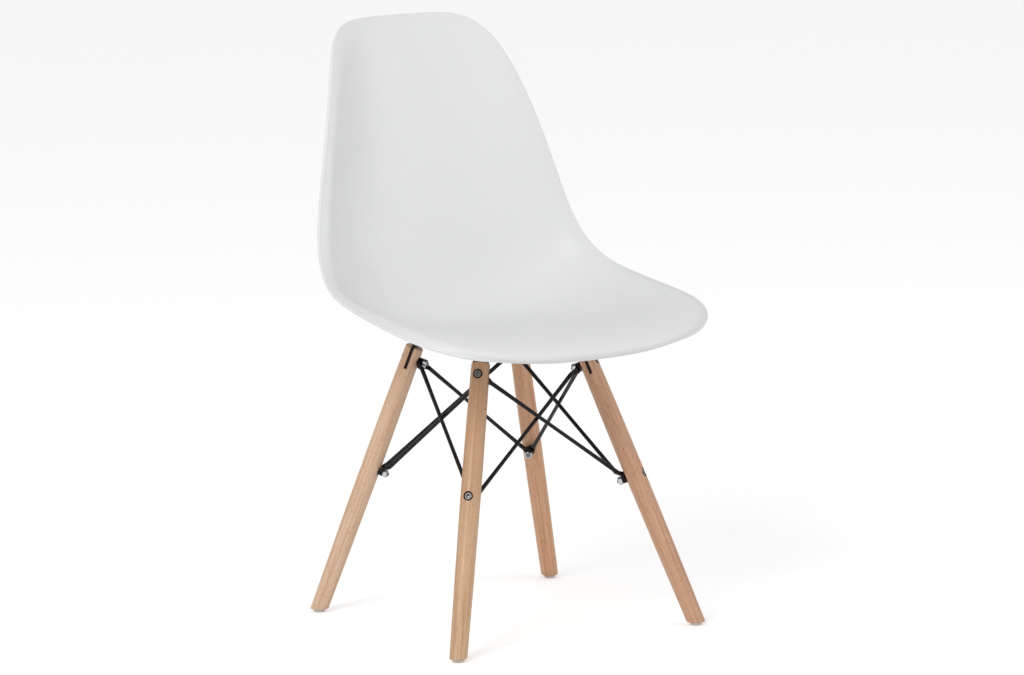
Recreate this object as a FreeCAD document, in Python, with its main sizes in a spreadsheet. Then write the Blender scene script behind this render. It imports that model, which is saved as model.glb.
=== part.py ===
import FreeCAD, Part
import Sketcher
import math
import os
from FreeCAD import Placement, Rotation, Vector

# A dining chair: a one-piece moulded bucket shell on four splayed wooden dowel legs, which are
# bolted to a small welded steel frame and braced by eight crossed steel rods.
# Millimetres. +Z is up, the sitter faces -Y, and the floor is z = 0.

document = FreeCAD.newDocument("DiningChair")
dim = document.addObject("Spreadsheet::Sheet", "dim")

DIMENSIONS = [
    # Base: where a leg's axis meets the floor, and how it leans.
    ("foot_across", 189.5, "leg axis at the floor, sideways from the middle"),
    ("foot_along", 195.0, "leg axis at the floor, fore and aft of the middle"),
    ("plan_angle", 44.3, "direction of the lean in plan, from the sideways axis, degrees"),
    ("splay_angle", 21.7, "lean of a leg from the vertical, degrees"),
    # Leg, measured along its own axis from the floor.
    ("leg_length", 407.0, "floor to the centre of the top end"),
    ("leg_top_radius", 12.6, "radius at the top end"),
    ("leg_foot_radius", 11.9, "radius at the floor"),
    ("leg_low_radius", 13.1, "radius at leg_low_height"),
    ("leg_low_height", 110.0, "where the swell begins to show"),
    ("leg_swell_radius", 13.8, "largest radius, at the lower bolt"),
    ("leg_high_radius", 13.5, "radius at leg_high_height"),
    ("leg_high_height", 320.0, "where the leg draws in towards its top"),
    ("leg_edge_round", 2.5, "rounding of the top edge"),
    ("leg_stub", 8.0, "dowel below the floor before its foot is cut level"),
    ("leg_foot_chamfer", 0.8, "broken edge at the sawn foot"),
    ("slot_width", 4.4, "saw slot for the frame's fin"),
    ("slot_depth", 32.0, "depth of the saw slot"),
    ("fin_clearance", 1.0, "gap between the fin and the bottom of the slot"),
    ("cut_reach", 30.0, "how far a cutting outline runs past the leg's axis or end"),
    ("upper_hub", 390.0, "height of the upper bolt along the leg"),
    ("lower_hub", 222.5, "height of the lower bolt along the leg"),
    ("upper_seat_radius", 13.0, "leg axis to the rods' seat at the upper bolt"),
    ("lower_seat_radius", 13.8, "leg axis to the rods' seat at the lower bolt"),
    # Bolts and nuts.
    ("bolt_radius", 3.0, "bolt shank"),
    ("bolt_hole_radius", 3.2, "clearance hole for the bolt"),
    ("head_radius", 5.0, "socket head"),
    ("head_height", 4.6, "socket head"),
    ("head_seat", 7.6, "leg axis to the counterbore's floor"),
    ("counterbore_radius", 6.6, "counterbore around the head"),
    ("socket_radius", 2.9, "hexagon socket, across its corners halved"),
    ("socket_depth", 2.8, "hexagon socket"),
    ("nut_corner_radius", 5.77, "hexagon nut, across its corners halved"),
    ("nut_height", 6.0, "hexagon nut"),
    ("bolt_tip", 2.0, "bolt proud of its nut"),
    # Foot glide.
    ("glide_radius", 7.6, "nylon glide"),
    ("glide_height", 4.5, "nylon glide"),
    ("glide_round", 1.2, "rounding of the glide's lower edge"),
    ("nail_radius", 1.2, "nail that holds the glide"),
    ("nail_length", 17.0, "nail, from its head's underside"),
    ("nail_head_radius", 2.6, "nail head, sunk in the glide"),
    ("nail_head_level", 1.6, "floor to the nail head's underside"),
    ("nail_head_height", 0.9, "nail head"),
    # Brace rods.
    ("rod_radius", 3.0, "brace rod"),
    ("rod_tab_radius", 5.3, "flattened end of a rod, half its width"),
    ("rod_tab_thickness", 2.8, "flattened end of a rod"),
    ("rod_tab_reach", 7.5, "bolt to the start of the neck"),
    ("rod_neck", 8.0, "neck between the flat end and the round rod"),
    ("rod_bow", 2.2, "set of a rod away from the one it crosses"),
    # Welded frame under the shell.
    ("tab_top", 393.0, "upper face of the frame's tabs"),
    ("bracket_thickness", 4.0, "pressed bracket"),
    ("bracket_width", 22.0, "pressed bracket"),
    ("tab_end", 207.0, "foot axis to the inner end of a tab"),
    ("screw_inset", 196.0, "foot axis to the shell screw"),
    ("screw_hole_radius", 2.8, "clearance hole for the shell screw"),
    ("rail_radius", 4.0, "frame rail"),
    ("rail_across", 63.0, "side rails, from the middle"),
    ("rail_along", 71.5, "front and rear rails, from the middle"),
    # Shell fixings.
    ("spacer_radius", 9.0, "rubber spacer"),
    ("spacer_height", 2.0, "rubber spacer"),
    ("insert_radius", 4.0, "threaded insert"),
    ("insert_height", 7.0, "threaded insert"),
    ("screw_radius", 2.5, "shell screw"),
    ("screw_length", 12.0, "shell screw under its head"),
    ("screw_head_radius", 4.8, "shell screw head"),
    ("screw_head_height", 3.4, "shell screw head"),
    ("screw_socket_radius", 1.7, "hexagon socket in the head"),
    ("screw_socket_depth", 2.0, "hexagon socket in the head"),
    # Shell.
    ("wall", 5.0, "wall of the moulded shell"),
    ("lip_drop", 7.0, "how far the rolled lip falls from the surface it leaves"),
    ("lip_band", 0.07, "share of the half span that the lip takes"),
    ("dish_power", 2.6, "how sharply a cross-section rises towards its sides"),
    ("corner_power", 6.0, "squareness of the shell's outline"),
    ("boss_radius", 10.0, "moulded boss"),
    ("rear_boss_top", 404.0, "level inside the wall where a rear boss ends"),
    ("front_boss_top", 416.0, "level inside the wall where a front boss ends"),
]

# Nine stretches of the shell, from the front lip back along the seat and up to the top edge.
# Each station is a control point of the middle line (along, height) and of the side line
# (across, along, height).
SHELL_STATIONS = [
    ("front_lip", -260.5, 396, 212, -218.5, 427),
    ("front_roll", -267, 415, 230.5, -196.5, 429.5),
    ("thigh", -197, 430.5, 240, -157.5, 445),
    ("seat_front", -95.5, 419, 233.5, -62, 455),
    ("seat_middle", 26, 404.5, 225, 34.5, 466.5),
    ("seat_rear", 148, 396, 212, 93, 482),
    ("lumbar", 181, 527.5, 198.5, 137.5, 531.5),
    ("back_low", 216, 645, 170.5, 153.5, 656),
    ("back_high", 243.5, 769.5, 145.5, 181.5, 775),
    ("top_edge", 254.5, 818.5, 145, 206, 817.5),
]
STATION_FIELDS = ("middle_along", "middle_height", "side_across", "side_along", "side_height")

dim.set("A1", "Name")
dim.set("B1", "Value")
dim.set("C1", "Meaning")
cells = list(DIMENSIONS)
for station in SHELL_STATIONS:
    for field, value in zip(STATION_FIELDS, station[1:]):
        cells.append((station[0] + "_" + field, value, "shell station"))
for row, (alias, value, meaning) in enumerate(cells, start=2):
    dim.set("A%d" % row, alias)
    dim.set("B%d" % row, str(value))
    dim.setAlias("B%d" % row, alias)
    dim.set("C%d" % row, meaning)
document.recompute()

nodes = []


def size(alias):
    """The number in the sheet's cell of this name."""
    return float(dim.get(alias))


def number(expression):
    """The value of an expression on the sheet, as a plain number."""
    result = dim.evalExpression(expression)
    return float(getattr(result, "Value", result))


def bind(item, **sizes):
    """Bind properties of an object to expressions on the sheet."""
    for name, expression in sizes.items():
        item.setExpression(name, expression)


def keep(item, label, placement=None):
    """Make an object one of the chair's sub-parts."""
    item.Label = label
    if placement is not None:
        item.Placement = placement
    nodes.append(item)
    return item


def origin_plane(body, role):
    """One of a body's own origin planes."""
    return [plane for plane in body.Origin.OriginFeatures if plane.Role == role][0]


def new_sketch(body, name, role, offset=None):
    """A sketch on a body's origin plane, shifted or turned in that plane by offset."""
    sketch = body.newObject("Sketcher::SketchObject", name)
    sketch.AttachmentSupport = [(origin_plane(body, role), "")]
    sketch.MapMode = "FlatFace"
    if offset is not None:
        sketch.AttachmentOffset = offset
    return sketch


def arc_middle(start, end, radius):
    """The middle of a short arc that bulges to the right of the way from start to end."""
    chord = end - start
    half = chord.Length / 2.0
    bulge = abs(radius) - math.sqrt(radius * radius - half * half)
    right = Vector(chord.y, -chord.x, 0).normalize()
    return (start + end) * 0.5 + right * bulge


def draw_outline(sketch, corners):
    """Draw a closed outline whose corners are bound to the sheet.

    Each corner is (x, y) or (x, y, radius), all expressions. A radius makes the side that
    leaves the corner an arc that bulges to its right.
    """
    points = [Vector(number(corner[0]), number(corner[1]), 0) for corner in corners]
    starts = []
    for index, corner in enumerate(corners):
        start = points[index]
        end = points[(index + 1) % len(points)]
        if len(corner) == 3:
            radius = number(corner[2])
            curve = Part.Arc(start, arc_middle(start, end, radius), end)
            side = sketch.addGeometry(curve, False)
            drawn = sketch.Geometry[side]
            forward = (drawn.StartPoint - start).Length < (drawn.EndPoint - start).Length
            starts.append((side, 1 if forward else 2, 2 if forward else 1))
        else:
            side = sketch.addGeometry(Part.LineSegment(start, end), False)
            starts.append((side, 1, 2))
    for index, (side, first, last) in enumerate(starts):
        following, next_first, _ = starts[(index + 1) % len(starts)]
        sketch.addConstraint(Sketcher.Constraint("Coincident", side, last, following, next_first))
        for kind, value, expression in (
            ("DistanceX", points[index].x, corners[index][0]),
            ("DistanceY", points[index].y, corners[index][1]),
        ):
            place = sketch.addConstraint(Sketcher.Constraint(kind, -1, 1, side, first, value))
            sketch.setExpression("Constraints[%d]" % place, expression)
        if len(corners[index]) == 3:
            radius = number(corners[index][2])
            place = sketch.addConstraint(Sketcher.Constraint("Radius", side, radius))
            sketch.setExpression("Constraints[%d]" % place, corners[index][2])


def must_cut(body, feature, before):
    """Stop if a pocket or groove took nothing away."""
    document.recompute()
    if feature.Shape.Volume > before - 1.0:
        raise RuntimeError("%s in %s cuts nothing" % (feature.Name, body.Label))


def groove(body, name, offset, corners, axis):
    """Cut away an outline turned about its sketch's own axis."""
    before = body.Shape.Volume
    sketch = new_sketch(body, name + "Outline", "XZ_Plane", offset)
    draw_outline(sketch, corners)
    cut = body.newObject("PartDesign::Groove", name)
    cut.Profile = sketch
    cut.ReferenceAxis = (sketch, [axis])
    cut.Angle = 360
    must_cut(body, cut, before)
    return cut


def pocket(body, name, corners):
    """Cut an outline in the XZ plane right through a body, both ways."""
    before = body.Shape.Volume
    sketch = new_sketch(body, name + "Outline", "XZ_Plane")
    draw_outline(sketch, corners)
    cut = body.newObject("PartDesign::Pocket", name)
    cut.Profile = sketch
    cut.Type = "ThroughAll"
    cut.Midplane = True
    must_cut(body, cut, before)
    return cut


def revolved(body, name, corners):
    """A solid turned about the body's Z axis."""
    sketch = new_sketch(body, name + "Outline", "XZ_Plane")
    draw_outline(sketch, corners)
    turned = body.newObject("PartDesign::Revolution", name)
    turned.Profile = sketch
    turned.ReferenceAxis = (sketch, ["V_Axis"])
    turned.Angle = 360
    document.recompute()
    return turned


def cylinder(name, radius, height, placement):
    """A cylinder whose radius and height are expressions on the sheet."""
    item = document.addObject("Part::Cylinder", name)
    bind(item, Radius=radius, Height=height)
    item.Placement = placement
    return item


def hexagon(name, corner_radius, height, placement):
    """A hexagonal prism whose sizes are expressions on the sheet."""
    item = document.addObject("Part::Prism", name)
    item.Polygon = 6
    bind(item, Circumradius=corner_radius, Height=height)
    item.Placement = placement
    return item


def joined(name, items):
    """Several overlapping or touching solids as one."""
    item = document.addObject("Part::MultiFuse", name)
    item.Shapes = items
    return item


def cut_from(name, base, tool):
    """A solid with another taken out of it."""
    item = document.addObject("Part::Cut", name)
    item.Base = base
    item.Tool = tool
    return item


def group_of(label, items):
    """Identical fasteners as one sub-part of separate solids."""
    item = document.addObject("Part::Compound", label)
    item.Links = items
    return keep(item, label)


# Each leg stands in a corner frame: its origin is where the leg's axis meets the floor, X points
# outwards along the lean and Z is up. The leg frame is the corner frame tilted so that Z runs up
# the leg; the bolts lie along its X.
CORNERS = {
    "front_right": (-1, -1),
    "front_left": (1, -1),
    "rear_left": (1, 1),
    "rear_right": (-1, 1),
}


def corner_frame(corner):
    """Placement of a corner frame."""
    across, along = CORNERS[corner]
    lean = math.radians(size("plan_angle"))
    turn = math.degrees(math.atan2(along * math.sin(lean), across * math.cos(lean)))
    foot = Vector(across * size("foot_across"), along * size("foot_along"), 0)
    return Placement(foot, Rotation(Vector(0, 0, 1), turn))


def leg_frame(corner):
    """Placement of a leg frame."""
    tilt = Rotation(Vector(0, 1, 0), -size("splay_angle"))
    return corner_frame(corner).multiply(Placement(Vector(), tilt))


def on_bolt_axis(corner, hub, reach):
    """Placement on a bolt's axis with Z pointing inwards, reach out from the leg's axis."""
    inwards = Rotation(Vector(0, 1, 0), -90)
    return leg_frame(corner).multiply(Placement(Vector(reach, 0, size(hub)), inwards))


def build_leg(corner):
    """A turned dowel with a sawn slot, two counterbored bolt holes and a level foot."""
    body = document.addObject("PartDesign::Body", "Leg_" + corner)
    below = "-dim.leg_stub"
    revolved(body, "Dowel", [
        ("0", below),
        ("dim.leg_foot_radius", below),
        ("dim.leg_low_radius", "dim.leg_low_height"),
        ("dim.leg_swell_radius", "dim.lower_hub"),
        ("dim.leg_high_radius", "dim.leg_high_height"),
        ("dim.leg_top_radius", "dim.leg_length - dim.leg_edge_round", "dim.leg_edge_round"),
        ("dim.leg_top_radius - dim.leg_edge_round", "dim.leg_length"),
        ("0", "dim.leg_length"),
    ])
    pocket(body, "Slot", [
        ("-dim.slot_width / 2", "dim.leg_length - dim.slot_depth"),
        ("dim.slot_width / 2", "dim.leg_length - dim.slot_depth"),
        ("dim.slot_width / 2", "dim.leg_length + dim.cut_reach"),
        ("-dim.slot_width / 2", "dim.leg_length + dim.cut_reach"),
    ])
    slope = "tan(dim.splay_angle * 1 deg)"
    level = "dim.glide_height / cos(dim.splay_angle * 1 deg)"
    pocket(body, "LevelFoot", [
        ("-dim.cut_reach", level + " + dim.cut_reach * " + slope),
        ("-dim.cut_reach", "-dim.cut_reach"),
        ("dim.cut_reach", "-dim.cut_reach"),
        ("dim.cut_reach", level + " - dim.cut_reach * " + slope),
    ])
    for hub in ("upper_hub", "lower_hub"):
        groove(body, "Bore_" + hub, Placement(Vector(0, size(hub), 0), Rotation()), [
            ("-dim.cut_reach", "0"),
            ("dim.cut_reach", "0"),
            ("dim.cut_reach", "dim.counterbore_radius"),
            ("dim.head_seat", "dim.counterbore_radius"),
            ("dim.head_seat", "dim.bolt_hole_radius"),
            ("-dim.cut_reach", "dim.bolt_hole_radius"),
        ], "H_Axis")
    foot = Vector(0, number(level), 0)
    upright = Rotation(Vector(0, 0, 1), -size("splay_angle"))
    groove(body, "NailHole", Placement(foot, upright), [
        ("0", "-dim.cut_reach"),
        ("dim.nail_radius", "-dim.cut_reach"),
        ("dim.nail_radius", "dim.nail_length + dim.nail_head_level - dim.glide_height"),
        ("0", "dim.nail_length + dim.nail_head_level - dim.glide_height"),
    ], "V_Axis")
    tip = body.Tip
    world = leg_frame(corner)
    longest_inner_edge = 2 * math.pi * size("nail_radius") * 1.5
    level_within = 0.01
    for index, edge in enumerate(tip.Shape.Edges, start=1):
        heights = [world.multVec(point).z - size("glide_height") for point in edge.discretize(5)]
        if edge.Length > longest_inner_edge and max(map(abs, heights)) < level_within:
            broken = body.newObject("PartDesign::Chamfer", "FootEdge")
            broken.Base = (tip, ["Edge%d" % index])
            bind(broken, Size="dim.leg_foot_chamfer")
            break
    document.recompute()
    return keep(body, "leg_" + corner, world)


def build_glide(corner):
    """A round nylon glide, hollowed for the head of its nail."""
    body = document.addObject("PartDesign::Body", "Glide_" + corner)
    head_top = "dim.nail_head_level"
    revolved(body, "Disc", [
        ("dim.nail_head_radius", "0"),
        ("dim.glide_radius - dim.glide_round", "0", "dim.glide_round"),
        ("dim.glide_radius", "dim.glide_round"),
        ("dim.glide_radius", "dim.glide_height"),
        ("dim.nail_radius", "dim.glide_height"),
        ("dim.nail_radius", head_top),
        ("dim.nail_head_radius", head_top),
    ])
    return keep(body, "glide_" + corner, glide_place(corner))


def glide_place(corner):
    """A glide sits where the leg's axis leaves the level foot."""
    shift = -size("glide_height") * math.tan(math.radians(size("splay_angle")))
    return corner_frame(corner).multiply(Placement(Vector(shift, 0, 0), Rotation()))


def build_nail(corner):
    """The nail through a glide into the leg's end."""
    place = glide_place(corner)
    level = size("nail_head_level")
    under_head = place.multiply(Placement(Vector(0, 0, level), Rotation()))
    head_foot = Vector(0, 0, level - size("nail_head_height"))
    shank = cylinder("NailShank", "dim.nail_radius", "dim.nail_length", under_head)
    head = cylinder("NailHead", "dim.nail_head_radius", "dim.nail_head_height",
                    place.multiply(Placement(head_foot, Rotation())))
    return joined("Nail", [shank, head])


def build_bolt(corner, hub, seat):
    """A socket head bolt, from the leg's outer face through to its nut."""
    head_top = size("head_seat") + size("head_height")
    length = "dim.head_seat + dim.%s + 2 * dim.rod_tab_thickness + dim.nut_height + dim.bolt_tip"
    head = cylinder("Head", "dim.head_radius", "dim.head_height", on_bolt_axis(corner, hub, head_top))
    shank = cylinder("Shank", "dim.bolt_radius", length % seat,
                     on_bolt_axis(corner, hub, size("head_seat")))
    socket = hexagon("Socket", "dim.socket_radius", "dim.socket_depth",
                     on_bolt_axis(corner, hub, head_top))
    bolt = cut_from("Bolt", joined("BoltBlank", [head, shank]), socket)
    return keep(bolt, "bolt_%s_%s" % (hub[:5], corner))


def build_nut(corner, hub, seat):
    """A hexagon nut on the rods' flattened ends."""
    reach = -(size(seat) + 2 * size("rod_tab_thickness"))
    place = on_bolt_axis(corner, hub, reach)
    block = hexagon("NutBlock", "dim.nut_corner_radius", "dim.nut_height", place)
    thread = cylinder("NutThread", "dim.bolt_radius", "dim.nut_height", place)
    return keep(cut_from("Nut", block, thread), "nut_%s_%s" % (hub[:5], corner))


def build_bracket(corner):
    """A steel strip bent into a fin, which fills the leg's slot, and a level tab for the shell."""
    body = document.addObject("PartDesign::Body", "Bracket_" + corner)
    tangent = "tan(dim.splay_angle * 1 deg)"
    cosine = "cos(dim.splay_angle * 1 deg)"
    sine = "sin(dim.splay_angle * 1 deg)"
    half = "dim.bracket_thickness / 2"
    tab_under = "(dim.tab_top - dim.bracket_thickness)"
    fin_foot = "(dim.leg_length - dim.slot_depth + dim.fin_clearance)"
    sketch = new_sketch(body, "StripOutline", "XZ_Plane")
    draw_outline(sketch, [
        ("-%s * %s + %s * %s" % (fin_foot, sine, half, cosine),
         "%s * %s + %s * %s" % (fin_foot, cosine, half, sine)),
        ("-dim.tab_top * %s + %s / %s" % (tangent, half, cosine), "dim.tab_top"),
        ("-dim.tab_end", "dim.tab_top"),
        ("-dim.tab_end", tab_under),
        ("-%s * %s - %s / %s" % (tab_under, tangent, half, cosine), tab_under),
        ("-%s * %s - %s * %s" % (fin_foot, sine, half, cosine),
         "%s * %s - %s * %s" % (fin_foot, cosine, half, sine)),
    ])
    strip = body.newObject("PartDesign::Pad", "Strip")
    strip.Profile = sketch
    strip.Midplane = True
    bind(strip, Length="dim.bracket_width")
    document.recompute()
    lean = math.radians(size("splay_angle"))
    hub = Vector(-size("upper_hub") * math.sin(lean), size("upper_hub") * math.cos(lean), 0)
    along_bolt = Rotation(Vector(0, 0, 1), size("splay_angle"))
    groove(body, "BoltHole", Placement(hub, along_bolt), [
        ("-dim.bracket_thickness", "0"),
        ("dim.bracket_thickness", "0"),
        ("dim.bracket_thickness", "dim.bolt_hole_radius"),
        ("-dim.bracket_thickness", "dim.bolt_hole_radius"),
    ], "H_Axis")
    groove(body, "ScrewHole", Placement(Vector(-size("screw_inset"), 0, 0), Rotation()), [
        ("0", tab_under + " - dim.bracket_thickness"),
        ("dim.screw_hole_radius", tab_under + " - dim.bracket_thickness"),
        ("dim.screw_hole_radius", "dim.tab_top + dim.bracket_thickness"),
        ("0", "dim.tab_top + dim.bracket_thickness"),
    ], "V_Axis")
    return keep(body, "frame_bracket_" + corner, corner_frame(corner))


def build_rails():
    """Four round rails in a rectangle under the tabs; the side rails are coped to the others."""
    level = size("tab_top") - size("bracket_thickness") - size("rail_radius")
    sideways = Rotation(Vector(0, 1, 0), 90)
    endways = Rotation(Vector(1, 0, 0), -90)
    across = size("rail_across")
    along = size("rail_along")
    reach = across + size("rail_radius")
    ends = []
    for label, side in (("frame_rail_front", -1), ("frame_rail_rear", 1)):
        place = Placement(Vector(-reach, side * along, level), sideways)
        length = "2 * (dim.rail_across + dim.rail_radius)"
        ends.append(keep(cylinder(label, "dim.rail_radius", length, place), label))
    for label, side in (("frame_rail_right", -1), ("frame_rail_left", 1)):
        place = Placement(Vector(side * across, -along, level), endways)
        blank = cylinder("RailBlank", "dim.rail_radius", "2 * dim.rail_along", place)
        coped = cut_from("RailCope", cut_from("RailFront", blank, ends[0]), ends[1])
        keep(coped, label)


def screw_place(corner, level):
    """Placement on a shell screw's axis at a level, Z up."""
    shift = Placement(Vector(-size("screw_inset"), 0, level), Rotation())
    return corner_frame(corner).multiply(shift)


def build_screw(corner):
    """A socket screw, up through the tab into the shell's insert."""
    under_tab = size("tab_top") - size("bracket_thickness")
    head_foot = screw_place(corner, under_tab - size("screw_head_height"))
    head = cylinder("ScrewHead", "dim.screw_head_radius", "dim.screw_head_height", head_foot)
    shank = cylinder("ScrewShank", "dim.screw_radius", "dim.screw_length",
                     screw_place(corner, under_tab))
    socket = hexagon("ScrewSocket", "dim.screw_socket_radius", "dim.screw_socket_depth", head_foot)
    return cut_from("Screw", joined("ScrewBlank", [head, shank]), socket)


def build_ring(name, corner, level, outer, inner, height):
    """A plain ring on a shell screw's axis."""
    place = screw_place(corner, level)
    return cut_from(name, cylinder(name + "Blank", outer, height, place),
                    cylinder(name + "Bore", inner, height, place))


def hub_frame(corner, hub):
    """The centre of a hub on the leg's axis, and the bolt's outward direction there."""
    place = leg_frame(corner)
    return place.multVec(Vector(0, 0, size(hub))), place.Rotation.multVec(Vector(1, 0, 0))


def flat_end(centre, bolt, towards):
    """A rod's flattened end: a round tab on the bolt, drawn out towards the rod."""
    radius = size("rod_tab_radius")
    thickness = size("rod_tab_thickness")
    reach = size("rod_tab_reach")
    side = bolt.cross(towards)
    under = centre - bolt * (thickness / 2)
    disc = Part.makeCylinder(radius, thickness, under, bolt)
    tongue = [under + side * radius, under - side * radius,
              under - side * radius + towards * reach, under + side * radius + towards * reach]
    plate = Part.Face(Part.makePolygon(tongue + tongue[:1])).extrude(bolt * thickness)
    hole = Part.makeCylinder(size("bolt_hole_radius"), thickness, under, bolt)
    mouth = [tongue[3], tongue[2], tongue[2] + bolt * thickness, tongue[3] + bolt * thickness]
    return disc.fuse(plate).cut(hole), Part.makePolygon(mouth + mouth[:1]), side


def brace_shape(upper_corner, lower_corner, layer):
    """A rod from one leg's upper bolt to the next leg's lower bolt.

    layer is 0 for the rod against the leg and 1 for the one on top of it; the two also bow
    apart, so that they pass each other in the middle of the side.
    """
    thickness = size("rod_tab_thickness")
    bow = size("rod_bow") * (1 if layer == 0 else -1)
    ends = []
    for corner, hub, seat in ((upper_corner, "upper_hub", "upper_seat_radius"),
                              (lower_corner, "lower_hub", "lower_seat_radius")):
        centre, bolt = hub_frame(corner, hub)
        ends.append((centre - bolt * (size(seat) + (layer + 0.5) * thickness), bolt))
    line = (ends[1][0] - ends[0][0]).normalize()
    leg_line = leg_frame(upper_corner).Rotation.multVec(Vector(0, 0, 1))
    outwards = line.cross(leg_line).normalize()
    if outwards.dot(ends[0][1]) < 0:
        outwards = outwards * -1
    pieces = []
    starts = []
    run = size("rod_tab_reach") + size("rod_neck")
    for (centre, bolt), sense in zip(ends, (1, -1)):
        towards = line * sense
        flat = (towards - bolt * towards.dot(bolt)).normalize()
        tab, mouth, side = flat_end(centre, bolt, flat)
        starts.append((centre + towards * run + outwards * bow, mouth, side))
        pieces.append(tab)
    axis = (starts[1][0] - starts[0][0]).normalize()
    radius = size("rod_radius")
    for (start, mouth, side), sense in zip(starts, (1, -1)):
        ring = Part.Circle(start, axis * -sense, radius)
        ring.XAxis = side
        pieces.append(Part.makeLoft([mouth, Part.Wire(ring.toShape())], True))
    span = (starts[1][0] - starts[0][0]).Length
    pieces.append(Part.makeCylinder(radius, span, starts[0][0], axis))
    return pieces[0].multiFuse(pieces[1:])


def build_braces():
    """Eight rods, crossed in the four sides of the base.

    The front and the right side are drawn, and the same four rods turned half way round the
    chair's middle make the rear and the left side.
    """
    half_turn = Placement(Vector(), Rotation(Vector(0, 0, 1), 180))
    drawn = [
        ("front_right", "front_left", 0, "brace_front_down_left", "brace_rear_down_right"),
        ("front_left", "front_right", 1, "brace_front_down_right", "brace_rear_down_left"),
        ("rear_right", "front_right", 0, "brace_right_down_front", "brace_left_down_rear"),
        ("front_right", "rear_right", 1, "brace_right_down_rear", "brace_left_down_front"),
    ]
    for upper_corner, lower_corner, layer, label, turned_label in drawn:
        shape = brace_shape(upper_corner, lower_corner, layer)
        for name, placement in ((label, Placement()), (turned_label, half_turn)):
            rod = document.addObject("Part::Feature", name)
            rod.Shape = shape
            keep(rod, name, placement)


def station_curve(fields):
    """The smooth curve drawn by one set of the shell's stations."""
    poles = []
    for station in SHELL_STATIONS:
        values = [size(station[0] + "_" + field) if field else 0.0 for field in fields]
        poles.append(Vector(*values))
    spans = len(poles) - 3
    curve = Part.BSplineCurve()
    curve.buildFromPolesMultsKnots(poles, [4] + [1] * (spans - 1) + [4],
                                   [index / spans for index in range(spans + 1)], False, 3)
    return curve


class ShellForm:
    """The shell's middle surface.

    Across the chair, a cross-section leaves the middle line level and rises to the side line
    with a power law. Along it, both lines are smooth curves. The outline is a rounded
    rectangle, and near it the surface rolls outwards and down into a lip.
    """

    OVERLAP = 6
    COLUMNS = 96
    SHARES = (0.0, 0.12, 0.24, 0.36, 0.48, 0.6, 0.7, 0.79, 0.86, 0.91, 0.935, 0.955, 0.978, 1.0)
    RIM_TURNS = (30, 60, 90, 120, 150)
    STEP = 1e-4

    def __init__(self):
        self.middle = station_curve((None, "middle_along", "middle_height"))
        self.side = station_curve(("side_across", "side_along", "side_height"))

    def dish(self, across, along):
        """A point of the dish: across is -1 to 1 and along is 0, front, to 1, top."""
        along = min(max(along, 0.0), 1.0)
        middle = self.middle.value(along)
        side = self.side.value(along)
        rise = abs(across) ** size("dish_power")
        return Vector(side.x * across, middle.y + (side.y - middle.y) * rise,
                      middle.z + (side.z - middle.z) * rise)

    def point(self, share, angle):
        """A point and the surface's upper normal, share of the way to the outline."""
        power = size("corner_power")
        cosine = math.cos(angle)
        sine = math.sin(angle)
        reach = (abs(cosine) ** power + abs(sine) ** power) ** (-1.0 / power)
        across = share * reach * cosine
        along = 0.5 + 0.5 * share * reach * sine
        step = self.STEP
        sideways = self.dish(across + step, along) - self.dish(across - step, along)
        backwards = self.dish(across, along + step) - self.dish(across, along - step)
        normal = sideways.cross(backwards).normalize()
        band = size("lip_band")
        rolled = max(0.0, (share - 1.0 + band) / band) ** 2
        return self.dish(across, along) - normal * (size("lip_drop") * rolled), normal

    def skin(self):
        """Rows of points over the top, round the rim and back underneath.

        There is a row for each of SHARES, and each goes once round in COLUMNS steps and OVERLAP
        points further both ways, so that the surface through them is smooth where it meets
        itself. RIM_TURNS are the degrees of the rim's own rows, from the top face to the under.
        """
        half_wall = size("wall") / 2
        turns = range(-self.OVERLAP, self.COLUMNS + self.OVERLAP + 1)
        angles = [-math.pi / 2 + 2 * math.pi * turn / self.COLUMNS for turn in turns]
        grid = [[self.point(share, angle) for angle in angles] for share in self.SHARES]
        inside = grid[-2]
        top = [[place + normal * half_wall for place, normal in row] for row in grid]
        under = [[place - normal * half_wall for place, normal in row] for row in grid]
        rim = []
        for turn in self.RIM_TURNS:
            row = []
            for (place, normal), (inner, _) in zip(grid[-1], inside):
                outwards = place - inner
                outwards = (outwards - normal * outwards.dot(normal)).normalize()
                lift = math.cos(math.radians(turn)) * half_wall
                push = math.sin(math.radians(turn)) * half_wall
                row.append(place + normal * lift + outwards * push)
            rim.append(row)
        return top + rim + under[::-1]


def closed_skin(grid, rows_on_top):
    """A solid bounded by one smooth surface through a grid whose first and last rows are points.

    The surface is split along both edges of the rim and down the middle, because a solid with
    a single face that meets itself is hard to measure.
    """
    surface = Part.BSplineSurface()
    surface.interpolate(grid)
    rows = surface.NbUPoles
    columns = surface.NbVPoles
    for column in range(1, columns + 1):
        surface.setPole(1, column, grid[0][0])
        surface.setPole(rows, column, grid[-1][0])
    knots = surface.getUKnots()
    bands = [knots[0], knots[rows_on_top - 1], knots[-rows_on_top], knots[-1]]
    seams = surface.getVKnots()[ShellForm.OVERLAP:-ShellForm.OVERLAP]
    start, middle, end = seams[0], seams[len(seams) // 2], seams[-1]
    faces = []
    for low, high in zip(bands, bands[1:]):
        for first, last in ((start, middle), (middle, end)):
            patch = surface.copy()
            patch.segment(low, high, first, last)
            faces.append(patch.toShape())
    shell = Part.Shell(faces)
    shell.sewShape()
    solid = Part.Solid(shell)
    if solid.Volume < 0:
        solid.reverse()
    return solid


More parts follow.
